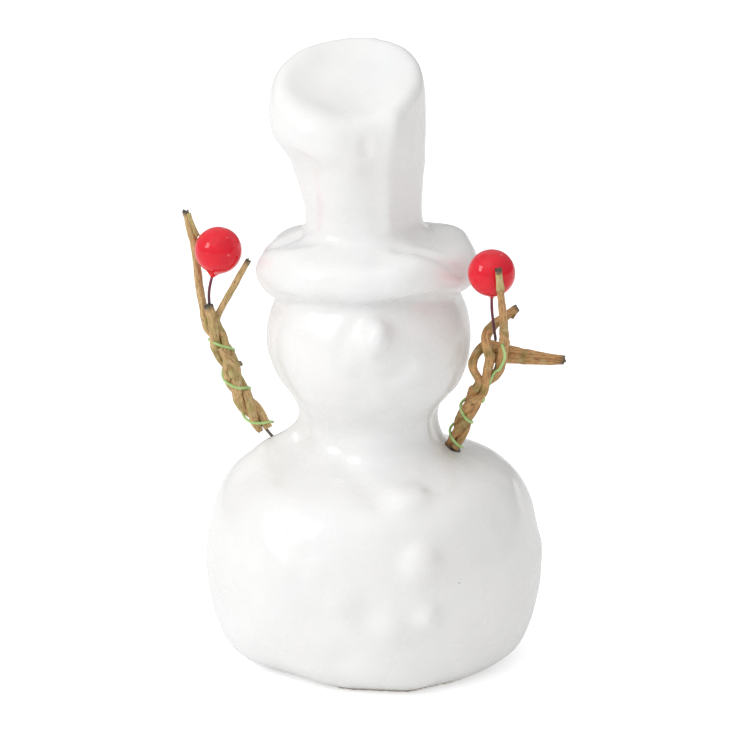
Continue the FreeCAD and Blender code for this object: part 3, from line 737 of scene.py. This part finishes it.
def bark_flake(route, start, end, side, lift, seed):
    """A thin curl of bark that peels off a twig, from one share of its route to another."""
    form = bmesh.new()
    tone = form.verts.layers.float_vector.new("run_line")
    wear = form.verts.layers.float.new("broken_end")
    bmesh.ops.create_grid(form, x_segments=8, y_segments=12, size=0.5)
    for vert in form.verts:
        across = vert.co.x
        down = vert.co.y + 0.5
        spot, direction = along(route, start + (end - start) * down)
        out = (Vector(side) - direction * Vector(side).dot(direction)).normalized()
        wing = direction.cross(out)
        angle = across * (1.9 - 0.8 * down) + seed * 0.3
        rag = 0.35 * noise.noise(Vector((across * 5, seed, 0.3))) * down
        reach = 1.0 + lift * down * down + 0.12 * noise.noise(Vector((across * 3, down * 3, seed)))
        vert.co = spot + out * (reach * math.cos(angle)) + wing * (reach * math.sin(angle)) + direction * rag
        vert[tone] = (math.cos(angle), math.sin(angle), down * 3 + seed)
        vert[wear] = 0.55 * down
    bmesh.ops.recalc_face_normals(form, faces=form.faces)
    bmesh.ops.solidify(form, geom=form.faces[:], thickness=0.16)
    bmesh.ops.recalc_face_normals(form, faces=form.faces)
    return form


def wire_form(points, radius, seed):
    """A hand-bent wire: round, with the small kinks that pliers leave."""
    route, _ = flowing(points, WIRE_STEP)
    form = bmesh.new()
    tone = form.verts.layers.float_vector.new("run_line")
    made = bmesh.ops.create_circle(form, cap_ends=True, segments=WIRE_SIDES, radius=1)
    rim = set(made["verts"])
    last = Matrix.Identity(4)
    for index, place in enumerate(stations(route)):
        if index:
            rim = next_ring(form, rim)
        thick = radius * (1 + 0.05 * noise.noise(Vector((index * 0.31, seed, 1.7))))
        bmesh.ops.transform(form, matrix=place @ Matrix.Diagonal((thick, thick, 1, 1)) @ last.inverted(),
                            verts=list(rim))
        for vert in rim:
            vert[tone] = (0, seed, index / (len(route) - 1))
        last = place @ Matrix.Diagonal((thick, thick, 1, 1))
    close_holes(form)
    return form


def berry_form(centre, upward):
    """A moulded berry, drawn down to a short neck round its wire."""
    form = bmesh.new()
    bmesh.ops.create_uvsphere(form, u_segments=56, v_segments=40, radius=BERRY_RADIUS)
    for vert in form.verts:
        away = math.hypot(vert.co.x, vert.co.y)
        if vert.co.z < 0:
            vert.co.z -= 1.25 * math.exp(-(away / 1.15) ** 2)
        else:
            vert.co.z -= 0.16 * math.exp(-(away / 0.8) ** 2)
        vert.co += vert.co.normalized() * (0.05 * noise.noise(vert.co / 4))
    turn = UP.rotation_difference(upward).to_matrix().to_4x4()
    form.transform(Matrix.Translation(centre) @ turn)
    return form


def build_left_arm(bark, torn, green, stem, red):
    twist = twist_line(LEFT_MOUTH, LEFT_AXIS, LEFT_TWIST)
    outer = wound(twist, TWIG_RING, 150, 1.25, 0.16, 1.0) + from_mouth(LEFT_MOUTH, LEFT_OUTER_PRONG)
    short = wound(twist, TWIG_RING, 30, 1.25, 0.13, 1.0) + from_mouth(LEFT_MOUTH, LEFT_SHORT_PRONG)
    stub = wound(twist, TWIG_RING, 270, 1.25, 0.14, 1.0) + from_mouth(LEFT_MOUTH, LEFT_STUB_PRONG)
    twigs = [
        ("left_outer_twig", Twig(outer, [(0, 1.0), (0.1, 1.25), (0.55, 1.2), (0.93, 0.98), (1, 0.8)], 1.3,
                                 knots=[(0.57, 0.35), (0.9, 0.25)])),
        ("left_short_twig", Twig(short, [(0, 1.1), (0.1, 1.3), (0.6, 1.0), (0.9, 0.78), (1, 0.65)], 2.9,
                                 knots=[(0.62, 0.2)])),
        ("left_stub_twig", Twig(stub, [(0, 1.0), (0.12, 1.25), (0.7, 1.25), (1, 1.15)], 4.1,
                                knots=[(0.7, 0.3)], split=0.3, ragged=0.5)),
        ("left_bark_curl", Twig(from_mouth(LEFT_MOUTH, LEFT_CURL), [(0, 0.6), (0.5, 1.15), (1, 0.7)], 6.2,
                                split=0.35, ragged=0.4)),
    ]
    for name, twig in twigs:
        set_in_place(twig.form(), name + "_bark", "left_arm", [bark], [name])
    flakes = bark_flake(outer[-4:], 0.97, 0.72, (0.4, -0.8, 0.2), 0.9, 1.4)
    add_to(flakes, bark_flake(twist, 0.86, 0.62, (-0.95, -0.4, 0.0), 2.1, 4.4))
    set_in_place(flakes, "left_bark_flakes", "left_arm", [torn])
    wire = wound(twist, WIRE_RING, 190, -2.5, 0.12, 0.93, 0.25)
    set_in_place(wire_form(wire, WIRE_RADIUS, 3.0), "left_green_wire_coil", "left_arm", [green],
                 ["left_green_wire"])
    build_berry("left", LEFT_MOUTH, LEFT_STEM, LEFT_BERRY, stem, red)


def build_right_arm(bark, torn, green, stem, red):
    twist = twist_line(RIGHT_MOUTH, RIGHT_AXIS, RIGHT_TWIST)
    loop = wound(twist, RIGHT_TWIG_RING, 180, 0.75, 0.04, 1.0) + from_mouth(RIGHT_MOUTH, RIGHT_LOOP_PRONG)
    front = wound(twist, RIGHT_TWIG_RING, 300, 0.75, 0.04, 1.0)
    front += from_mouth(RIGHT_MOUTH, RIGHT_FRONT_PRONG)
    rise = wound(twist, RIGHT_TWIG_RING, 60, 0.75, 0.04, 1.0) + from_mouth(RIGHT_MOUTH, RIGHT_UP_PRONG)
    splint = from_mouth(RIGHT_MOUTH, RIGHT_SPLINT)
    twigs = [
        ("right_loop_twig", Twig(loop, [(0, 0.9), (0.1, 1.1), (0.3, 1.15), (0.5, 1.15), (0.75, 1.3),
                                        (1, 0.85)], 1.9, knots=[(0.33, 0.35), (0.52, 0.2)])),
        ("right_front_twig", Twig(front, [(0, 0.9), (0.15, 1.15), (0.7, 1.25), (1, 1.0)], 3.4,
                                  knots=[(0.35, 1.15)], split=0.25)),
        ("right_up_twig", Twig(rise, [(0, 1.0), (0.15, 1.2), (0.6, 1.2), (0.9, 1.0), (1, 0.85)], 5.6,
                               knots=[(0.58, 0.25), (0.9, 0.2)])),
        ("right_side_splint", Twig(splint, [(0, 1.5), (0.3, 1.35), (0.8, 0.8), (1, 0.55)], 7.7,
                                   split=0.3, ragged=1.4)),
    ]
    for name, twig in twigs:
        set_in_place(twig.form(), name + "_bark", "right_arm", [bark], [name])
    flakes = bark_flake(rise[-3:], 0.93, 0.66, (-0.7, -0.7, 0.2), 1.0, 2.2)
    add_to(flakes, bark_flake(front[-3:], 0.95, 0.75, (0.6, -0.6, -0.2), 0.8, 5.1))
    set_in_place(flakes, "right_bark_flakes", "right_arm", [torn])
    wire = wound(twist, RIGHT_WIRE_RING, 300, -2.1, 0.06, 0.9, 0.25)
    wire += from_mouth(RIGHT_MOUTH, RIGHT_WIRE_TOP)
    set_in_place(wire_form(wire, WIRE_RADIUS, 5.0), "right_green_wire_coil", "right_arm", [green],
                 ["right_green_wire"])
    build_berry("right", RIGHT_MOUTH, RIGHT_STEM, RIGHT_BERRY, stem, red)


def build_berry(side, mouth, stem_offsets, berry_offset, stem, red):
    centre = mouth + Vector(berry_offset)
    route = from_mouth(mouth, stem_offsets)
    upward = (centre - route[-1]).normalized()
    body = side + "_berry_pick"
    wire = wire_form(route + [centre - upward * STEM_SINK], STEM_RADIUS, 2.0)
    set_in_place(wire, side + "_stem_wire", body, [stem], [side + "_berry_stem"])
    set_in_place(berry_form(centre, upward), side + "_red_berry", body, [red], [side + "_berry"])


# Materials


class Nodes:
    """Short calls for building a node tree."""

    def __init__(self, tree):
        self.tree = tree

    def add(self, kind, **settings):
        node = self.tree.nodes.new(kind)
        for name, value in settings.items():
            setattr(node, name, value)
        return node

    def link(self, start, end):
        self.tree.links.new(start, end)

    def feed(self, socket, value):
        """Links an output to a socket, or sets the socket's own value."""
        if isinstance(value, bpy.types.NodeSocket):
            self.link(value, socket)
        else:
            socket.default_value = value

    def noise(self, place, scale, detail=3.0, rough=0.5):
        node = self.add("ShaderNodeTexNoise")
        self.feed(node.inputs["Vector"], place)
        self.feed(node.inputs["Scale"], scale)
        node.inputs["Detail"].default_value = detail
        node.inputs["Roughness"].default_value = rough
        return node.outputs["Fac"]

    def spread(self, value, low, high, new_low=0.0, new_high=1.0):
        node = self.add("ShaderNodeMapRange")
        self.feed(node.inputs["Value"], value)
        limits = {"From Min": low, "From Max": high, "To Min": new_low, "To Max": new_high}
        for name, number in limits.items():
            self.feed(node.inputs[name], number)
        return node.outputs["Result"]

    def mix(self, share, first, second):
        node = self.add("ShaderNodeMix", data_type="RGBA")
        self.feed(node.inputs[0], share)
        self.feed(node.inputs[6], first)
        self.feed(node.inputs[7], second)
        return node.outputs[2]

    def math(self, operation, first, second=0.0):
        node = self.add("ShaderNodeMath", operation=operation)
        self.feed(node.inputs[0], first)
        self.feed(node.inputs[1], second)
        return node.outputs[0]

    def bump(self, height, strength, distance):
        node = self.add("ShaderNodeBump")
        self.link(height, node.inputs["Height"])
        node.inputs["Strength"].default_value = strength
        node.inputs["Distance"].default_value = distance
        return node.outputs["Normal"]


def new_group(name, inputs, outputs):
    """A node group, and the sockets inside it by name."""
    tree = bpy.data.node_groups.new(name, "ShaderNodeTree")
    for label, kind in inputs:
        tree.interface.new_socket(name=label, in_out="INPUT", socket_type="NodeSocket" + kind)
    for label, kind in outputs:
        tree.interface.new_socket(name=label, in_out="OUTPUT", socket_type="NodeSocket" + kind)
    nodes = Nodes(tree)
    return tree, nodes, nodes.add("NodeGroupInput").outputs, nodes.add("NodeGroupOutput").inputs


def cloudy_group():
    """Slow and quick colour drift over a surface."""
    tree, nodes, given, result = new_group(
        "cloudy_colour",
        [("Place", "Vector"), ("Base", "Color"), ("Drift", "Color"), ("Scale", "Float"), ("Amount", "Float")],
        [("Color", "Color"), ("Cloud", "Float")])
    slow = nodes.noise(given["Place"], given["Scale"], 2.0)
    quick = nodes.noise(given["Place"], nodes.math("MULTIPLY", given["Scale"], 4.3), 3.0)
    both = nodes.math("ADD", nodes.math("MULTIPLY", slow, 0.7), nodes.math("MULTIPLY", quick, 0.3))
    cloud = nodes.spread(both, 0.36, 0.64)
    nodes.link(nodes.mix(nodes.math("MULTIPLY", cloud, given["Amount"]), given["Base"], given["Drift"]),
               result["Color"])
    nodes.link(cloud, result["Cloud"])
    return tree


def specks_group():
    """Sparse round specks: pinholes in glaze, chips in paint, pores in bark."""
    tree, nodes, given, result = new_group(
        "sparse_specks", [("Place", "Vector"), ("Scale", "Float"), ("Size", "Float"), ("Rarity", "Float")],
        [("Speck", "Float")])
    cells = nodes.add("ShaderNodeTexVoronoi")
    nodes.link(given["Place"], cells.inputs["Vector"])
    nodes.link(given["Scale"], cells.inputs["Scale"])
    split = nodes.add("ShaderNodeSeparateColor")
    nodes.link(cells.outputs["Color"], split.inputs["Color"])
    chosen = nodes.math("GREATER_THAN", split.outputs["Red"], given["Rarity"])
    edge = nodes.math("DIVIDE", cells.outputs["Distance"], given["Size"])
    spot = nodes.spread(edge, 0.55, 1.0, 1.0, 0.0)
    nodes.link(nodes.math("MULTIPLY", spot, chosen), result["Speck"])
    return tree


def use_group(nodes, tree, **inputs):
    node = nodes.add("ShaderNodeGroup", node_tree=tree)
    for name, value in inputs.items():
        nodes.feed(node.inputs[name], value)
    return node.outputs


def new_material(name):
    material = bpy.data.materials.new(name)
    material.use_nodes = True
    nodes = Nodes(material.node_tree)
    shader = material.node_tree.nodes["Principled BSDF"]
    place = nodes.add("ShaderNodeTexCoord").outputs["Object"]
    return material, nodes, shader, place


CLOUDY = cloudy_group()
SPECKS = specks_group()
GLAZE_WHITE = (0.86, 0.86, 0.85, 1)
GLAZE_COOL = (0.78, 0.80, 0.82, 1)
GLAZE_WARM = (0.84, 0.80, 0.76, 1)
BARE_CLAY = (0.66, 0.58, 0.48, 1)
PINHOLE_DARK = (0.25, 0.22, 0.2, 1)
LIP_PINHOLES = [(-0.0148, -0.0172, 0.1428), (-0.0135, -0.0179, 0.1425)]


def white_glaze():
    """Thick white glaze: glossy, faintly cloudy, with a few pinholes and a bare foot."""
    material, nodes, shader, place = new_material("white_glaze")
    drift = use_group(nodes, CLOUDY, Place=place, Base=GLAZE_WHITE, Drift=GLAZE_COOL, Scale=55.0, Amount=0.5)
    warm = use_group(nodes, CLOUDY, Place=place, Base=drift["Color"], Drift=GLAZE_WARM, Scale=26.0,
                     Amount=0.3)
    holes = use_group(nodes, SPECKS, Place=place, Scale=150.0, Size=0.035, Rarity=0.93)["Speck"]
    for hole in LIP_PINHOLES:
        away = nodes.add("ShaderNodeVectorMath", operation="DISTANCE")
        nodes.link(place, away.inputs[0])
        away.inputs[1].default_value = hole
        holes = nodes.math("MAXIMUM", holes, nodes.spread(away.outputs["Value"], 0.0006, 0.0003))
    marked = nodes.mix(holes, warm["Color"], PINHOLE_DARK)
    height = nodes.add("ShaderNodeSeparateXYZ")
    nodes.link(place, height.inputs[0])
    uneven = nodes.spread(nodes.noise(place, 160.0), 0, 1, -0.0006, 0.0006)
    edge = nodes.math("ADD", height.outputs["Z"], uneven)
    foot = nodes.spread(edge, 0.0007, 0.0003)
    nodes.link(nodes.mix(foot, marked, BARE_CLAY), shader.inputs["Base Color"])
    gloss = nodes.spread(nodes.noise(place, 90.0), 0.3, 0.7, 0.22, 0.32)
    nodes.link(nodes.math("MAXIMUM", gloss, nodes.math("MULTIPLY", foot, 0.8)), shader.inputs["Roughness"])
    ripple = nodes.noise(place, 260.0, 2.0)
    pits = nodes.math("SUBTRACT", nodes.math("MULTIPLY", ripple, 0.5), nodes.math("MULTIPLY", holes, 0.6))
    nodes.link(nodes.bump(pits, 0.5, 0.0003), shader.inputs["Normal"])
    shader.inputs["Coat Weight"].default_value = 0.2
    shader.inputs["Coat Roughness"].default_value = 0.12
    shader.inputs["IOR"].default_value = 1.5
    return material


def bare_clay():
    """The unglazed inside of the figure and of the arm holes."""
    material, nodes, shader, place = new_material("bare_clay")
    body = use_group(nodes, CLOUDY, Place=place, Base=(0.42, 0.37, 0.31, 1), Drift=(0.3, 0.25, 0.2, 1),
                     Scale=120.0, Amount=0.8)
    nodes.link(body["Color"], shader.inputs["Base Color"])
    shader.inputs["Roughness"].default_value = 0.85
    nodes.link(nodes.bump(nodes.noise(place, 1200.0), 0.6, 0.0003), shader.inputs["Normal"])
    return material


def bark(name, light, dark, moss, end_tone):
    """Thin dry bark: long grain, dark hollows, greenish patches, and a grey broken end."""
    material, nodes, shader, place = new_material(name)
    line = nodes.add("ShaderNodeAttribute", attribute_name="run_line")
    stretch = nodes.add("ShaderNodeMapping")
    nodes.link(line.outputs["Vector"], stretch.inputs["Vector"])
    stretch.inputs["Scale"].default_value = (1.0, 1.0, 0.12)
    grain = nodes.noise(stretch.outputs["Vector"], 3.6, 5.0, 0.62)
    streak = nodes.spread(grain, 0.32, 0.56)
    wood = nodes.mix(streak, dark, light)
    patch = nodes.spread(nodes.noise(place, 210.0, 2.0), 0.52, 0.66)
    mossy = nodes.mix(nodes.math("MULTIPLY", patch, 0.65), wood, moss)
    pale = nodes.spread(nodes.noise(place, 480.0, 3.0), 0.58, 0.7, 0.0, 0.6)
    flecked = nodes.mix(pale, mossy, (0.62, 0.50, 0.28, 1))
    pores = use_group(nodes, SPECKS, Place=place, Scale=1100.0, Size=0.22, Rarity=0.7)["Speck"]
    spotted = nodes.mix(nodes.math("MULTIPLY", pores, 0.6), flecked, (0.08, 0.05, 0.02, 1))
    worn = nodes.add("ShaderNodeAttribute", attribute_name="broken_end").outputs["Fac"]
    nodes.link(nodes.mix(nodes.spread(worn, 0.3, 0.95), spotted, end_tone), shader.inputs["Base Color"])
    nodes.link(nodes.spread(grain, 0.3, 0.7, 0.72, 0.45), shader.inputs["Roughness"])
    rind = nodes.math("ADD", grain, nodes.math("MULTIPLY", nodes.noise(place, 1500.0), 0.35))
    nodes.link(nodes.bump(nodes.math("SUBTRACT", rind, pores), 0.8, 0.0004), shader.inputs["Normal"])
    return material


def green_wire():
    """Light green paint on florist's wire, with a few darker chips."""
    material, nodes, shader, place = new_material("green_wire")
    paint = use_group(nodes, CLOUDY, Place=place, Base=(0.34, 0.56, 0.18, 1), Drift=(0.50, 0.70, 0.28, 1),
                      Scale=320.0, Amount=0.9)
    chips = use_group(nodes, SPECKS, Place=place, Scale=700.0, Size=0.3, Rarity=0.82)["Speck"]
    nodes.link(nodes.mix(nodes.math("MULTIPLY", chips, 0.5), paint["Color"], (0.1, 0.2, 0.06, 1)),
               shader.inputs["Base Color"])
    nodes.link(nodes.spread(paint["Cloud"], 0, 1, 0.28, 0.45), shader.inputs["Roughness"])
    nodes.link(nodes.bump(nodes.noise(place, 1800.0), 0.35, 0.0001), shader.inputs["Normal"])
    return material


def stem_paint():
    """Maroon stem wire, brighter at the berry and almost black at its foot."""
    material, nodes, shader, place = new_material("stem_paint")
    line = nodes.add("ShaderNodeAttribute", attribute_name="run_line")
    split = nodes.add("ShaderNodeSeparateXYZ")
    nodes.link(line.outputs["Vector"], split.inputs[0])
    rise = nodes.spread(split.outputs["Z"], 0.15, 0.85)
    shade = nodes.mix(rise, (0.045, 0.015, 0.028, 1), (0.26, 0.02, 0.06, 1))
    drift = use_group(nodes, CLOUDY, Place=place, Base=shade, Drift=(0.12, 0.02, 0.04, 1), Scale=420.0,
                      Amount=0.5)
    nodes.link(drift["Color"], shader.inputs["Base Color"])
    nodes.link(nodes.spread(drift["Cloud"], 0, 1, 0.3, 0.5), shader.inputs["Roughness"])
    nodes.link(nodes.bump(nodes.noise(place, 1500.0), 0.4, 0.0001), shader.inputs["Normal"])
    return material


def red_berry():
    """Bright lacquer over moulded foam, a little deeper in places."""
    material, nodes, shader, place = new_material("red_berry")
    skin = use_group(nodes, CLOUDY, Place=place, Base=(0.82, 0.006, 0.022, 1), Drift=(0.58, 0.003, 0.020, 1),
                     Scale=130.0, Amount=0.55)
    dust = use_group(nodes, SPECKS, Place=place, Scale=420.0, Size=0.16, Rarity=0.9)["Speck"]
    nodes.link(nodes.mix(nodes.math("MULTIPLY", dust, 0.35), skin["Color"], (0.9, 0.35, 0.35, 1)),
               shader.inputs["Base Color"])
    nodes.link(nodes.spread(skin["Cloud"], 0, 1, 0.05, 0.10), shader.inputs["Roughness"])
    nodes.link(nodes.bump(nodes.noise(place, 420.0, 2.0), 0.25, 0.0002), shader.inputs["Normal"])
    shader.inputs["IOR"].default_value = 1.45
    return material


def peg_steel():
    """Dark annealed wire with a little rust."""
    material, nodes, shader, place = new_material("peg_steel")
    steel = use_group(nodes, CLOUDY, Place=place, Base=(0.20, 0.19, 0.18, 1), Drift=(0.16, 0.09, 0.05, 1),
                      Scale=500.0, Amount=0.7)
    nodes.link(steel["Color"], shader.inputs["Base Color"])
    nodes.link(nodes.spread(steel["Cloud"], 0, 1, 0.9, 0.3), shader.inputs["Metallic"])
    nodes.link(nodes.spread(steel["Cloud"], 0, 1, 0.35, 0.6), shader.inputs["Roughness"])
    nodes.link(nodes.bump(nodes.noise(place, 2500.0), 0.3, 0.0001), shader.inputs["Normal"])
    return material


def pale_floor():
    """Matt white paper that looks evenly lit from the camera."""
    material, nodes, shader, place = new_material("pale_floor")
    paper = use_group(nodes, CLOUDY, Place=place, Base=(0.9, 0.9, 0.9, 1), Drift=(0.87, 0.87, 0.87, 1),
                      Scale=3.0, Amount=0.5)
    nodes.link(paper["Color"], shader.inputs["Base Color"])
    shader.inputs["Roughness"].default_value = 0.9
    shader.inputs["Emission Color"].default_value = (1, 1, 1, 1)
    seen = nodes.add("ShaderNodeLightPath").outputs["Is Camera Ray"]
    nodes.link(nodes.spread(seen, 0, 1, 0.10, 0.45), shader.inputs["Emission Strength"])
    return material


# The studio

CAMERA_TURN = -12
CAMERA_RISE = 15
CAMERA_DISTANCE = 1.5
CAMERA_AIM = Vector((-0.0025, 0.0005, 0.0772))
FRAME_WIDTH = 0.18615
SKY_TURN = -55
SKY_RISE = 66


def toward(turn, rise):
    """The direction from the object toward a viewer or a lamp."""
    a = math.radians(turn)
    e = math.radians(rise)
    return Vector((math.sin(a) * math.cos(e), -math.cos(a) * math.cos(e), math.sin(e)))


def aim(thing, place, target):
    thing.location = place
    thing.rotation_euler = (target - place).to_track_quat("-Z", "Y").to_euler()


def build_camera():
    lens = bpy.data.cameras.new("camera")
    lens.sensor_width = 36
    lens.lens = 36 * CAMERA_DISTANCE / FRAME_WIDTH
    lens.clip_start = 0.01
    camera = scene_object("camera", lens)
    aim(camera, CAMERA_AIM + toward(CAMERA_TURN, CAMERA_RISE) * CAMERA_DISTANCE, CAMERA_AIM)
    bpy.context.scene.camera = camera


def soft_box(name, turn, rise, distance, width, height, power):
    lamp = bpy.data.lights.new(name, "AREA")
    lamp.shape = "RECTANGLE"
    lamp.size = width
    lamp.size_y = height
    lamp.energy = power
    aim(scene_object(name, lamp), CAMERA_AIM + toward(turn, rise) * distance, CAMERA_AIM)


def build_floor():
    form = bmesh.new()
    bmesh.ops.create_grid(form, x_segments=4, y_segments=4, size=5)
    mesh = bpy.data.meshes.new("floor")
    form.to_mesh(mesh)
    form.free()
    mesh.materials.append(pale_floor())
    scene_object("floor", mesh)


def build_sky():
    """A white sky, brightest high on the camera's left and dim on its right."""
    sky = bpy.data.worlds.new("studio")
    sky.use_nodes = True
    glow = sky.node_tree.nodes["Background"]
    glow.inputs["Color"].default_value = (1, 1, 1, 1)
    nodes = Nodes(sky.node_tree)
    side = nodes.add("ShaderNodeVectorMath", operation="DOT_PRODUCT")
    nodes.link(nodes.add("ShaderNodeTexCoord").outputs["Generated"], side.inputs[0])
    side.inputs[1].default_value = toward(SKY_TURN, SKY_RISE)
    nodes.link(nodes.spread(side.outputs["Value"], -0.5, 0.9, 0.16, 1.02), glow.inputs["Strength"])
    bpy.context.scene.world = sky


def build_studio():
    build_floor()
    build_sky()
    bpy.context.scene.view_settings.view_transform = "Standard"
    soft_box("key_box", -74, 28, 0.9, 0.28, 0.34, 1.7)
    sun = bpy.data.lights.new("ceiling_glow", "SUN")
    sun.energy = 0.20
    sun.angle = math.radians(50)
    aim(scene_object("ceiling_glow", sun), toward(-50, 55), Vector((0, 0, 0)))
    build_camera()


def build_pegs(steel):
    """The pegs keep their CAD shape, and get their finish."""
    for name in ("left_arm_peg", "right_arm_peg"):
        peg = frame["nodes"][name]
        peg.data.materials.clear()
        peg.data.materials.append(steel)


build_clay([white_glaze(), bare_clay()])
GREEN = green_wire()
STEM = stem_paint()
RED = red_berry()
LEFT_BARK = bark("left_bark", (0.68, 0.46, 0.21, 1), (0.27, 0.145, 0.045, 1), (0.36, 0.31, 0.09, 1),
                 (0.085, 0.075, 0.05, 1))
TORN_BARK = bark("torn_bark", (0.66, 0.56, 0.24, 1), (0.36, 0.24, 0.08, 1), (0.46, 0.42, 0.14, 1),
                 (0.30, 0.22, 0.10, 1))
RIGHT_BARK = bark("right_bark", (0.66, 0.37, 0.145, 1), (0.24, 0.105, 0.036, 1), (0.26, 0.22, 0.06, 1),
                  (0.12, 0.10, 0.07, 1))
build_left_arm(LEFT_BARK, TORN_BARK, GREEN, STEM, RED)
build_right_arm(RIGHT_BARK, TORN_BARK, GREEN, STEM, RED)
build_pegs(peg_steel())
build_studio()
